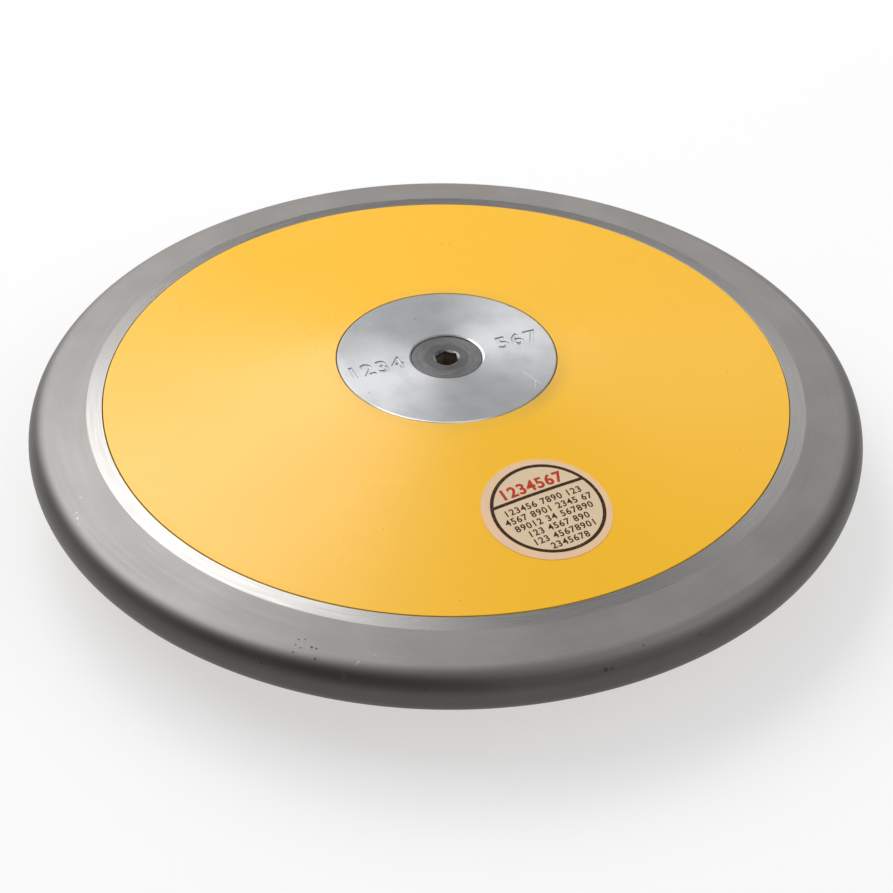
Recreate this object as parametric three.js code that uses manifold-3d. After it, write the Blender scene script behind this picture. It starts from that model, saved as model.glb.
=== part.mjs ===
// A 1.5 kg throwing discus: a turned steel rim, two moulded side plates that seat on the rim's web,
// two metal centre plates, and a tapped core that a countersunk screw pulls each centre plate down on.
// Millimetres, +Z is the axis of the discus, and the origin is its centre.

import * as THREE from 'three';
import { mergeVertices } from 'three/addons/utils/BufferGeometryUtils.js';
import Module from 'manifold-3d';

const wasm = await Module();
wasm.setup();

// Overall form
const discusRadius = 100.5;
const discusThickness = 38.4;

// Rim: a round edge, a wide straight band, a narrow inner band, and a web that carries the side plates
const edgeRadius = 6.1;
const rimWidth = 17.9;
const innerBandWidth = 3.7;
const innerBandHalfThickness = 7.8;
const webWidth = 6.6;
const webThickness = 3.2;
const rimLipBreak = 0.3;
const webEdgeBreak = 0.5;

// Seam between a side plate and the rim
const seamHalfThickness = 8.5;
const seamStep = 0.1;
const seamClearance = 0.3;

// Side plate moulding
const skinThickness = 3;
const plateEdgeRound = 0.4;
const skirtThickness = 2.2;
const jointHalfGap = 0.15;
const recessClearance = 0.15;
const recessCornerWidth = 3.5;
const flangeThickness = 3.2;
const hubWallThickness = 2.6;
const radialRibCount = 12;
const ribThickness = 1.8;
const ribFloorHeight = 3;
const hoopRibRadius = 51;

// Pegs of one side plate, which pass through the web into sockets of the other
const pegPairCount = 6;
const pegRadius = 1.6;
const pegReach = 2.6;
const pegTipBreak = 0.4;
const pegClearance = 0.25;

// Centre plate
const centrePlateRadius = 26.3;
const centrePlateThickness = 4;
const centrePlateEdgeBreak = 0.4;
const spigotRadius = 10;
const spigotClearance = 0.15;
const countersinkClearance = 0.5;
const countersinkEdgeBreak = 0.2;

// Countersunk socket screw
const screwRadius = 3.9;
const screwHeadRadius = 8.5;
const screwHeadLand = 0.5;
const screwHeadBreak = 0.25;
const screwSink = 0.35;
const screwTipBreak = 0.8;
const screwTipSpacing = 5.7;
const socketAcrossFlats = 5;
const socketDepth = 4.4;
const seatClearance = 0.15;
const holeClearance = 0.4;

// Core and the trim washers on it
const coreRadius = 15;
const collarWidth = 5;
const collarThickness = 4;
const coreEdgeBreak = 0.5;
const threadClearance = 0.15;
const washerWidth = 3.35;
const washerBoreClearance = 0.25;
const washerPocketClearance = 0.3;
const washerStackShares = [0.5, 0.3, 0.2];

// One overrun for every cut and every overlap of joined solids
const overrun = 0.6;

// Number of flats round each kind of turned piece
const rimFlats = 60;
const centreFlats = 36;
const washerFlats = 24;
const screwFlats = 24;
const pegFlats = 8;
const edgeArcSteps = 8;

// Radii and heights that follow from the sizes above
const halfThickness = discusThickness / 2;
const lipRadius = discusRadius - rimWidth;
const seamRadius = lipRadius - seamClearance;
const innerBandRadius = lipRadius + innerBandWidth;
const webInnerRadius = lipRadius - webWidth;
const webFace = webThickness / 2;
const recessFloor = halfThickness - centrePlateThickness;
const coreFace = recessFloor - flangeThickness;
const recessRadius = centrePlateRadius + recessClearance;
const cornerRadius = recessRadius + recessCornerWidth;
const skirtRadius = webInnerRadius - seamClearance;
const collarRadius = coreRadius + collarWidth;
const washerBoreRadius = coreRadius + washerBoreClearance;
const washerOuterRadius = washerBoreRadius + washerWidth;
const pocketRadius = Math.max(washerOuterRadius, collarRadius) + washerPocketClearance;
const screwHeadTop = halfThickness - screwSink;
const countersinkRadius = screwHeadRadius + countersinkClearance;
const pegCircleRadius = (skirtRadius + seamRadius) / 2;
const boreRadius = screwRadius + threadClearance;

const finishes = {
  steel: new THREE.MeshStandardMaterial({ color: 0x8e8a84, roughness: 0.38, metalness: 1 }),
  yellowPlastic: new THREE.MeshStandardMaterial({ color: 0xf3b31c, roughness: 0.36, metalness: 0 }),
  aluminium: new THREE.MeshStandardMaterial({ color: 0xc9c7c2, roughness: 0.32, metalness: 1 }),
  blackSteel: new THREE.MeshStandardMaterial({ color: 0x2a2725, roughness: 0.45, metalness: 1 }),
};

// A closed outline of [radius, height] points revolved about the Z axis. The outline runs anticlockwise
// in a drawing with the radius to the right and the height up.
function turned(outline, flats) {
  const onAxis = outline[0][0] === 0;
  const closed = onAxis ? outline : [...outline, outline[0]];
  const points = closed.map(([radius, height]) => new THREE.Vector2(radius, height));
  return new THREE.LatheGeometry(points, flats).rotateX(Math.PI / 2);
}

function solidOf(geometry) {
  const bare = geometry.clone();
  bare.deleteAttribute('normal');
  bare.deleteAttribute('uv');
  const merged = mergeVertices(bare);
  const corners = [];
  for (let i = 0; i < merged.index.count; i += 3) {
    const [a, b, c] = [0, 1, 2].map((k) => merged.index.getX(i + k));
    if (a !== b && b !== c && c !== a) corners.push(a, b, c);
  }
  return new wasm.Manifold(new wasm.Mesh({
    numProp: 3,
    vertProperties: new Float32Array(merged.attributes.position.array),
    triVerts: new Uint32Array(corners),
  }));
}

function geometryOf(solid) {
  const mesh = solid.getMesh();
  const geometry = new THREE.BufferGeometry();
  geometry.setAttribute('position', new THREE.BufferAttribute(new Float32Array(mesh.vertProperties), 3));
  geometry.setIndex(new THREE.BufferAttribute(new Uint32Array(mesh.triVerts), 1));
  geometry.computeVertexNormals();
  return geometry;
}

function named(name, geometry, finish) {
  const mesh = new THREE.Mesh(geometry, finish);
  mesh.name = name;
  return mesh;
}

// Places evenly spaced round the axis, with the first one offset by a share of a step
function anglesRound(count, offsetShare) {
  return Array.from({ length: count }, (_, i) => ((i + offsetShare) / count) * Math.PI * 2);
}

// The slope of the straight line that leaves a point outside a circle on the radius axis and touches it
function tangentSlope(fromRadius, fromHeight, centreRadius, circleRadius) {
  const run = centreRadius - fromRadius;
  return Math.atan2(fromHeight, run) - Math.asin(circleRadius / Math.hypot(run, fromHeight));
}

// Rim section: the upper side from the web out to the edge, the round edge, and the same below
function rimOutline() {
  const centre = discusRadius - edgeRadius;
  const slope = tangentSlope(innerBandRadius, innerBandHalfThickness, centre, edgeRadius);
  const startAngle = Math.PI / 2 - slope;
  const arc = Array.from({ length: edgeArcSteps + 1 }, (_, i) => {
    const angle = startAngle * (2 * i / edgeArcSteps - 1);
    return [centre + edgeRadius * Math.cos(angle), edgeRadius * Math.sin(angle)];
  });
  const lipTop = seamHalfThickness - seamStep;
  const inner = [
    [innerBandRadius, innerBandHalfThickness],
    [lipRadius + rimLipBreak, lipTop],
    [lipRadius, lipTop - rimLipBreak],
    [lipRadius, webFace],
    [webInnerRadius + webEdgeBreak, webFace],
    [webInnerRadius, webFace - webEdgeBreak],
  ];
  const below = inner.map(([radius, height]) => [radius, -height]).reverse();
  return [...below, ...arc, ...inner];
}

function makeRim() {
  const hole = new THREE.CylinderGeometry(
    pegRadius + pegClearance, pegRadius + pegClearance, webThickness + 2 * overrun, pegFlats,
  ).rotateX(Math.PI / 2);
  let rim = solidOf(turned(rimOutline(), rimFlats));
  for (const angle of anglesRound(2 * pegPairCount, 0.5)) {
    const drilled = hole.clone().translate(pegCircleRadius, 0, 0).rotateZ(angle);
    rim = rim.subtract(solidOf(drilled));
  }
  return named('rim', geometryOf(rim), finishes.steel);
}

// Height of the side plate's outer face at a radius: one straight cone from centre plate to seam
function faceHeight(radius) {
  const fallShare = (radius - centrePlateRadius) / (seamRadius - centrePlateRadius);
  return halfThickness - (halfThickness - seamHalfThickness) * fallShare;
}

function undersideHeight(radius) {
  return faceHeight(radius) - skinThickness;
}

function sidePlateOutline() {
  const hoopInner = hoopRibRadius - ribThickness / 2;
  const hoopOuter = hoopRibRadius + ribThickness / 2;
  const skirtInner = skirtRadius - skirtThickness;
  const hubOuter = pocketRadius + hubWallThickness;
  const bore = spigotRadius + spigotClearance;
  return [
    [bore, coreFace],
    [pocketRadius, coreFace],
    [pocketRadius, jointHalfGap],
    [hubOuter, jointHalfGap],
    [hubOuter, coreFace],
    [cornerRadius, coreFace],
    [cornerRadius, undersideHeight(cornerRadius)],
    [hoopInner, undersideHeight(hoopInner)],
    [hoopInner, ribFloorHeight],
    [hoopOuter, ribFloorHeight],
    [hoopOuter, undersideHeight(hoopOuter)],
    [skirtInner, undersideHeight(skirtInner)],
    [skirtInner, jointHalfGap],
    [skirtRadius, jointHalfGap],
    [skirtRadius, webFace],
    [seamRadius, webFace],
    [seamRadius, seamHalfThickness - plateEdgeRound],
    [seamRadius - plateEdgeRound, faceHeight(seamRadius - plateEdgeRound)],
    [recessRadius, faceHeight(recessRadius)],
    [recessRadius, recessFloor],
    [bore, recessFloor],
  ];
}

// One radial rib, which runs from the hub wall to the skirt under the skin
function radialRib() {
  const hubEnd = pocketRadius + hubWallThickness / 2;
  const skirtEnd = skirtRadius - skirtThickness / 2;
  const bury = Math.min(overrun, skinThickness / 2);
  const outline = new THREE.Shape([
    new THREE.Vector2(hubEnd, ribFloorHeight),
    new THREE.Vector2(skirtEnd, ribFloorHeight),
    new THREE.Vector2(skirtEnd, undersideHeight(skirtEnd) + bury),
    new THREE.Vector2(cornerRadius - bury, undersideHeight(cornerRadius) + bury),
    new THREE.Vector2(cornerRadius - bury, coreFace + bury),
    new THREE.Vector2(hubEnd, coreFace + bury),
  ]);
  return new THREE.ExtrudeGeometry(outline, { depth: ribThickness, bevelEnabled: false })
    .translate(0, 0, -ribThickness / 2)
    .rotateX(Math.PI / 2);
}

function peg() {
  const tip = webFace - webThickness - pegReach;
  return turned([
    [0, tip],
    [pegRadius - pegTipBreak, tip],
    [pegRadius, tip + pegTipBreak],
    [pegRadius, webFace + overrun],
    [0, webFace + overrun],
  ], pegFlats);
}

function pegSocket() {
  const depth = pegReach + pegClearance;
  return new THREE.CylinderGeometry(
    pegRadius + pegClearance, pegRadius + pegClearance, depth + overrun, pegFlats,
  ).rotateX(Math.PI / 2).translate(0, 0, webFace + (depth - overrun) / 2);
}

// Pegs and sockets take turns round the plate, so the same moulding turned over meets itself
function makeSidePlate(name) {
  let plate = solidOf(turned(sidePlateOutline(), rimFlats));
  for (const angle of anglesRound(radialRibCount, 0)) {
    plate = plate.add(solidOf(radialRib().rotateZ(angle)));
  }
  anglesRound(2 * pegPairCount, 0.5).forEach((angle, i) => {
    const isPeg = i % 2 === 0;
    const shape = (isPeg ? peg() : pegSocket()).translate(pegCircleRadius, 0, 0).rotateZ(angle);
    plate = isPeg ? plate.add(solidOf(shape)) : plate.subtract(solidOf(shape));
  });
  return named(name, geometryOf(plate), finishes.yellowPlastic);
}

// A disc with a spigot below and a countersunk hole whose cone lies parallel to the screw head's
function makeCentrePlate(name) {
  const hole = screwRadius + holeClearance;
  const coneOffset = seatClearance * Math.SQRT2;
  const coneAt = (radius) => screwHeadTop - screwHeadLand - (screwHeadRadius + coneOffset - radius);
  return named(name, turned([
    [hole, coreFace],
    [spigotRadius, coreFace],
    [spigotRadius, recessFloor],
    [centrePlateRadius, recessFloor],
    [centrePlateRadius, halfThickness - centrePlateEdgeBreak],
    [centrePlateRadius - centrePlateEdgeBreak, halfThickness],
    [countersinkRadius + countersinkEdgeBreak, halfThickness],
    [countersinkRadius, halfThickness - countersinkEdgeBreak],
    [countersinkRadius, coneAt(countersinkRadius)],
    [hole, coneAt(hole)],
  ], centreFlats), finishes.aluminium);
}

function makeScrew(name) {
  const tip = screwTipSpacing / 2;
  const headBottom = screwHeadTop - screwHeadLand;
  const body = solidOf(turned([
    [0, tip],
    [screwRadius - screwTipBreak, tip],
    [screwRadius, tip + screwTipBreak],
    [screwRadius, headBottom - (screwHeadRadius - screwRadius)],
    [screwHeadRadius, headBottom],
    [screwHeadRadius, screwHeadTop - screwHeadBreak],
    [screwHeadRadius - screwHeadBreak, screwHeadTop],
    [0, screwHeadTop],
  ], screwFlats));
  const corner = socketAcrossFlats / Math.sqrt(3);
  const socket = new THREE.CylinderGeometry(corner, corner, socketDepth + overrun, 6)
    .rotateX(Math.PI / 2)
    .translate(0, 0, screwHeadTop - (socketDepth - overrun) / 2);
  return named(name, geometryOf(body.subtract(solidOf(socket))), finishes.blackSteel);
}

// A tapped spool: the centre plates and side plates bear on its ends, the washers on its collar
function makeCore() {
  const collarFace = collarThickness / 2;
  const upper = [
    [collarRadius, collarFace],
    [coreRadius, collarFace],
    [coreRadius, coreFace - coreEdgeBreak],
    [coreRadius - coreEdgeBreak, coreFace],
    [boreRadius + coreEdgeBreak, coreFace],
    [boreRadius, coreFace - coreEdgeBreak],
  ];
  const lower = upper.map(([radius, height]) => [radius, -height]).reverse();
  return named('core', turned([...lower, ...upper], centreFlats), finishes.aluminium);
}

function makeTrimWashers(side) {
  const seat = collarThickness / 2;
  const stack = coreFace - seat;
  let lowShare = 0;
  return washerStackShares.map((share, i) => {
    const low = seat + stack * lowShare;
    lowShare += share;
    const high = seat + stack * lowShare;
    return named(`${side}_trim_washer_${i + 1}`, turned([
      [washerBoreRadius, low],
      [washerOuterRadius, low],
      [washerOuterRadius, high],
      [washerBoreRadius, high],
    ], washerFlats), finishes.steel);
  });
}

// Everything that one face of the discus has, seen from above
function makeSide(side) {
  const group = new THREE.Group();
  group.add(
    makeSidePlate(`${side}_side_plate`),
    makeCentrePlate(`${side}_centre_plate`),
    makeScrew(`${side}_centre_screw`),
    ...makeTrimWashers(side),
  );
  return group;
}

const group = new THREE.Group();
group.name = 'discus';
const lowerSide = makeSide('lower');
lowerSide.rotation.x = Math.PI;
group.add(makeRim(), makeCore(), makeSide('upper'), lowerSide);

export default group;
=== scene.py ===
# A throwing discus as it is photographed: a turned steel rim, two yellow moulded side plates,
# stamped aluminium centre plates, black socket screws and a round paper label.
# Metres, +Z is the axis of the discus, and the origin is its centre.

import math

import bmesh
import bpy
from bpy.props import FloatProperty, FloatVectorProperty, IntProperty, PointerProperty
from bpy.types import Operator, Panel, PropertyGroup
from mathutils import Matrix, Vector


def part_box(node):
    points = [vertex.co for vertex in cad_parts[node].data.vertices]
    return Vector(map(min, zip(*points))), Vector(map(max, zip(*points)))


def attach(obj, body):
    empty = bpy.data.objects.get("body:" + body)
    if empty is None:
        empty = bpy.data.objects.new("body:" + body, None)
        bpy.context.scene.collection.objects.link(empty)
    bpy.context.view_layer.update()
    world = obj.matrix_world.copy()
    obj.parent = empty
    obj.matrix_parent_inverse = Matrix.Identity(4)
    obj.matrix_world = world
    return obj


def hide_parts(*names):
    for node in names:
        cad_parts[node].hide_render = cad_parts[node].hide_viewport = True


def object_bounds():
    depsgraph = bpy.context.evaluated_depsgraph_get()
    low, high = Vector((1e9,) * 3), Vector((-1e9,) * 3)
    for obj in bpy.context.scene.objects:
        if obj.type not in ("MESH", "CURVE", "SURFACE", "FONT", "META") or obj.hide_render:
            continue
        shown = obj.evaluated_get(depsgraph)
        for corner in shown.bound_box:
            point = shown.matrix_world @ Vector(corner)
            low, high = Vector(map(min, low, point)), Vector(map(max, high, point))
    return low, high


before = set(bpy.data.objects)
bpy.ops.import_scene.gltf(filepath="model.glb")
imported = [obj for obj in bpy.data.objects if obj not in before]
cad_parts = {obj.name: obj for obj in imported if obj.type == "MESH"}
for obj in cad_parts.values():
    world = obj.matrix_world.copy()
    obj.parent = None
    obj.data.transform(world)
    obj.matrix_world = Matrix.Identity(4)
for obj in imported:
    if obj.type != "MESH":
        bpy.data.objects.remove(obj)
CAD_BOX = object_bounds()
NODE_BOXES = {node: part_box(node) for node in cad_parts}

bl_info = {
    "name": "Throwing discus",
    "version": (1, 0, 0),
    "blender": (4, 5, 0),
    "location": "3D View > Sidebar > Discus",
    "description": "Builds a steel-rimmed throwing discus piece by piece round its frame",
    "category": "Add Mesh",
}

MM = 0.001
BODY = "root"
SIDES = ("upper", "lower")

# Outer sizes of the upper half, from the frame
RIM_RADIUS = NODE_BOXES["rim"][1].x
SEAM_RADIUS = NODE_BOXES["upper_side_plate"][1].x
PEG_TIP = NODE_BOXES["upper_side_plate"][0].z
PLATE_RADIUS = NODE_BOXES["upper_centre_plate"][1].x
PLATE_TOP = NODE_BOXES["upper_centre_plate"][1].z
CORE_FACE = NODE_BOXES["upper_centre_plate"][0].z
HEAD_RADIUS = NODE_BOXES["upper_centre_screw"][1].x
SCREW_TOP = NODE_BOXES["upper_centre_screw"][1].z
SCREW_TIP = NODE_BOXES["upper_centre_screw"][0].z

# Flats round each kind of turned piece, and the most that one step of a rounded corner, or of the
# rim's round edge, may turn
RIM_FLATS = 360
PLATE_FLATS = 240
SCREW_FLATS = 96
LABEL_FLATS = 128
PIN_FLATS = 32
CORNER_STEP = math.radians(12)
EDGE_STEP = math.radians(5)
SHARP_ANGLE = math.radians(28)
MERGE_GAP = 0.0002 * MM

# Roundings of small corners: most of them, inner corners of the moulding, the centre plate's
# underside, the countersink's mouth and cone, and the land of the screw's head
FINE_BREAK = 0.2 * MM
INNER_BREAK = 2 * FINE_BREAK
SPIGOT_BREAK = 0.3 * MM
SINK_BREAK = 0.06 * MM
CONE_BREAK = 0.04 * MM
LAND_BREAK = 0.08 * MM

# How far a part reaches into what it joins, and how far a cut runs out of what it cuts
OVERLAP = 0.6 * MM
OVERRUN = 1 * MM

# Shares of the thread's pitch. A turn's points are (on the crest or not, height).
THREAD_DEPTH_SHARE = 0.6
THREAD_TURN_SHARES = ((True, -0.06), (True, 0.06), (False, 0.44), (False, 0.56))
THREAD_RUNOUT_SHARE = 0.3
# Shares of the seat's gap, of the bevel at the screw's tip and of the bevel at its socket
MOUTH_GAP_SHARE = 0.8
TIP_BEVEL_SHARES = (0.1, 0.2)
BEVEL_OVERRUN_SHARE = 0.5
BEVEL_SLOPE = 0.6

# How finely the figures are cut, the font's size for a height, and the straight wall of a stamp
FIGURE_CURVE_STEPS = 4
FIGURE_BEVEL_STEPS = 1
FIGURE_MERGE_GAP = 0.002 * MM
FONT_SIZE_TO_HEIGHT = 1.25
STAMP_WALL = 0.02 * MM
# The paper's rings and the bar's strips let them bend. The bar's ink is thinner than that of the
# ring, which it runs into.
PAPER_RINGS = 12
STRIP_WIDTH = 1 * MM
BAR_INK_SHARE = 0.9

# Levels of a noise between which each pattern goes from none to full
NOISE_LEVELS = (0.3, 0.7)
STREAK_LEVELS = (0.38, 0.62)
CLOUD_LEVELS = (0.35, 0.7)
FILM_LEVELS = (0.45, 0.75)
MOTTLE_LEVELS = (0.25, 0.75)
SCUFF_LEVELS = (0.62, 0.8)
HAZE_LEVELS = (0.4, 0.75)
BLACKING_LEVELS = (0.35, 0.65)
WEAR_LEVELS = (0.35, 0.6)
STAIN_LEVELS = (0.35, 0.75)
BREAK_LEVELS = (0.55, 0.75)

# Roughness of each surface from its smoothest to its roughest places, and the depth of its grain
ROUGHNESS = {
    "steel": (0.51, 0.55),
    "bright": (0.26, 0.34),
    "web": (0.4, 0.55),
    "core": (0.35, 0.5),
    "washer": (0.4, 0.55),
    "plastic": (0.27, 0.33),
    "aluminium": (0.4, 0.46),
    "screw": (0.42, 0.56),
    "paper": (0.45, 0.6),
    "ink": (0.4, 0.55),
}
GRAIN_DEPTH = {
    "steel": 0.003 * MM,
    "bright": 0.002 * MM,
    "machined": 0.006 * MM,
    "plastic": 0.004 * MM,
    "aluminium": 0.003 * MM,
    "screw": 0.006 * MM,
    "paper": 0.004 * MM,
}
# What patterns add to a roughness, and what the grip of hands takes away from the steel's
ROUGHENS = {"clouds": 0.06, "rust": 0.3, "scuffs": 0.06, "dust": 0.1}
GRIP_SMOOTHS = 0.13
# Shares of the fine and the coarse lines in the steel's streaks and in its relief, and how much other
# patterns count in a relief
STREAK_SHARES = (0.6, 0.4)
RELIEF_SHARES = (0.7, 0.3)
NICK_RELIEF = 0.7
GRAIN_RELIEF = 0.3
SCRATCH_RELIEF = 2.0
# How light each pattern is against its surface, and how strongly it shows
SHADES = {
    "streaks": 1.6,
    "film": 0.6,
    "mottle": 0.97,
    "haze": 0.8,
    "specks": 0.3,
    "thin blacking": 1.5,
    # mouth: painted shade round the screw's socket
    "mouth": 0.75,
    "wear": 3.5,
    "stain": 0.86,
}
STRENGTHS = {
    "dull patches": 0.3,
    "film": 0.5,
    "mottle": 0.5,
    "haze": 0.4,
    "specks": 0.7,
    "scratches": 0.4,
    # mouth: painted shade round the screw's socket
    "mouth": 0.7,
    "stain": 0.3,
    "breaks": 0.15,
}
# Turns the stretched highlight of turned metal across its lines, as a share of a full turn
GRAIN_TURN = 0.25

# Shares of the edge radius, out from the edge's centre, between which the round edge's smoother finish
# and its painted shade begin
ROUNDED_SHARES = (0.2, 0.48)
EDGE_SHADE_SHARES = (0.42, 0.8)
# The ring round the centre plate, painted shade that also roughens the plastic: its width, its strength
# where the mottle is weakest and strongest, and the azimuth in degrees where the painted shade is heaviest
PLATE_RING_WIDTH = 5 * MM
PLATE_RING_STRENGTHS = (0.25, 0.75)
RING_SHADE_AZIMUTH = -25.0
# Painted highlights on one side of the centre plate's edge and of the countersink's mouth, each on the side
# that an azimuth in degrees gives
EDGE_HIGHLIGHT_AZIMUTH = 262.0
EDGE_HIGHLIGHT_START = 0.45 * MM
EDGE_HIGHLIGHT_FULL = 0.3 * MM
COUNTERSINK_HIGHLIGHT_AZIMUTH = 22.0
# Cosines of the angles from an azimuth at which that side begins and is full
FACING_COSINES = (0.78, 0.97)
# Depths below the screw's top: the oil is full under the first and gone at the lip, and the wear
# runs from the second up to the flat face
OIL_DEPTH = 1.6 * MM
WEAR_DEPTH = 0.5 * MM
LIP_DEPTH = 0.3 * MM
SKIN_DEPTH = 0.04 * MM
MOUTH_FADE = 0.1 * MM
# Shares of the mouth's radius between which the painted shade round the socket fades out
MOUTH_SHADE_SHARES = (1.5, 1.75)
# Scratches are on the upper half alone, above the height over which they come in
UPPER_HALF_FADE = 1.0 * MM
SCRATCH_WIDTH = 0.08 * MM
# Shares of a mark's size within which it is at full strength
DOT_SOLID_SHARE = 0.4
LINE_SOLID_SHARE = 0.5

WHITE = (1.0, 1.0, 1.0)
# Softboxes: azimuth from +Y towards +X and elevation in degrees, width and height, radiance
LAMPS = {
    "key_softbox": (-20.0, 45.0, 0.66, 0.9, 3.85),
    "low_softbox": (-35.0, 15.0, 0.95, 0.5, 1.2),
    "left_softbox": (-62.0, 50.0, 1.4, 1.3, 1.95),
    "right_softbox": (17.0, 36.0, 0.64, 0.7, 1.15),
    "rear_softbox": (125.0, 36.0, 2.2, 1.4, 0.72),
}
LAMP_DISTANCE = 1.6
# Parts of a direction, up and ahead, between which the room's light changes
HORIZON_RISE = (0.1, 0.5)
DARK_SIDE_REACH = (-0.4, 0.1)
# The camera sees what is between these distances
NEAREST = 0.01
FARTHEST = 50.0

# Marks that the rim has picked up: azimuth in degrees, radius, height and size in millimetres
RIM_NICKS = ((-154.8, 93.0, 6.5, 0.36), (-151.1, 96.2, 5.8, 0.46), (-152.2, 95.6, 6.0, 0.28),
             (-150.0, 96.8, 5.6, 0.26), (-101.0, 96.4, 5.7, 0.34), (-101.2, 97.0, 5.5, 0.26),
             (-99.1, 94.1, 6.3, 0.24), (38.0, 91.5, 6.8, 0.24), (170.0, 97.0, 5.5, 0.24))
RIM_RUST = ((-109.7, 93.7, 6.3, 0.28), (-108.9, 93.3, 6.4, 0.24), (-109.8, 95.2, 6.0, 0.28),
            (-109.0, 95.7, 5.9, 0.26), (-107.6, 94.9, 6.1, 0.36), (-106.9, 95.0, 6.1, 0.30),
            (-106.6, 97.4, 5.3, 0.42), (-109.7, 97.1, 5.4, 0.30), (-113.4, 99.9, 2.6, 0.46),
            (-120.1, 99.1, 3.9, 0.42), (-102.6, 99.3, 3.6, 0.50), (-92.1, 99.9, 2.6, 0.40),
            (-69.2, 99.7, 3.0, 0.70), (-68.3, 99.8, 2.9, 0.50), (-63.4, 97.8, 5.1, 0.34),
            (-55.2, 99.4, 3.4, 0.40), (60.0, 98.5, 4.4, 0.34))
PLATE_SPECKS = ((-103.5, 59.2, 0.20), (5.1, 68.1, 0.20), (-18.7, 72.7, 0.18), (-87.3, 78.1, 0.22),
                (149.7, 69.8, 0.20), (120.0, 44.0, 0.16), (-32.0, 47.0, 0.14), (71.0, 61.0, 0.16))
CENTRE_SPECKS = ((-140.5, 23.4, 0.32), (117.1, 16.9, 0.26), (75.6, 17.9, 0.20), (54.1, 25.9, 0.45))
# A scratch runs from one azimuth and radius to another
CENTRE_SCRATCHES = ((-18.0, 19.0, -25.3, 24.5), (-24.0, 23.0, -30.0, 24.2))

# Stamped figures with their azimuth and radius, and printed figures. They only count up.
STAMPS = (("1234", -163.4, 17.2), ("567", 23.7, 18.4))
LABEL_HEADING = "1234567"
LABEL_ROWS = ("123456 7890 123", "4567 8901 2345 67", "89012 34 567890", "123 4567 890", "123 45678901",
              "2345678")


def length(name, description, default):
    return FloatProperty(name=name, description=description, default=default, min=0.0,
                         unit="LENGTH", subtype="DISTANCE", precision=5)


def colour(name, description, default):
    return FloatVectorProperty(name=name, description=description, default=default, size=3,
                               min=0.0, max=1.0, subtype="COLOR")


def share(name, description, default):
    return FloatProperty(name=name, description=description, default=default, min=0.0, max=1.0,
                         subtype="FACTOR")


def angle(name, description, degrees):
    return FloatProperty(name=name, description=description, default=math.radians(degrees),
                         unit="ROTATION", subtype="ANGLE")


def number(name, description, default):
    return FloatProperty(name=name, description=description, default=default, min=0.0)


class DiscusRimSettings(PropertyGroup):
    """Sizes and colours of the turned steel rim"""

    width: length("Width", "From the outer edge in to the side plate", 18.02 * MM)
    edge_radius: length("Edge radius", "Radius of the round gripping edge", 6.1 * MM)
    band_width: length("Inner band width", "Width of the bright band beside the side plate", 3.82 * MM)
    band_height: length("Inner band height", "Half thickness where the two bands meet", 7.8 * MM)
    lip_height: length("Lip height", "Half thickness beside the side plate", 8.4 * MM)
    lip_break: length("Lip break", "Rounding of the lip beside the side plate", 0.12 * MM)
    band_break: length("Band break", "Rounding of the corner between the two bands", 0.3 * MM)
    web_width: length("Web width", "How far the web reaches in under the side plates", 6.48 * MM)
    web_thickness: length("Web thickness", "Thickness of the web that the side plates seat on", 3.2 * MM)
    web_break: length("Web edge break", "Rounding of the web's inner edges", 0.5 * MM)
    steel: colour("Steel", "Colour of the turned steel", (0.254, 0.242, 0.234))
    bright: colour("Bright steel", "Colour of the finely turned inner band", (0.257, 0.249, 0.241))
    worn: colour("Worn steel", "Colour of the top of the round edge", (0.255, 0.245, 0.235))
    # The next colour is painted shade: it darkens the outer part of the round edge in place of the dark room
    # and shadowed floor it reflects
    painted_edge_shade: colour("Handled steel", "Colour of the edge that hands have darkened", (0.085, 0.08, 0.071))
    rust: colour("Rust", "Colour of the rust specks", (0.032, 0.019, 0.012))
    fresh: colour("Fresh steel", "Colour of the metal in a nick", (0.95, 0.92, 0.9))
    streaks: share("Streaks", "Strength of the streaks that turning left", 0.12)
    clouding: share("Clouding", "Strength of the cloudy patches", 0.25)
    rust_cover: share("Rust cover", "Strength of the rust specks", 0.85)
    nick_shine: share("Nick shine", "Strength of the shine in the nicks", 0.22)


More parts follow.
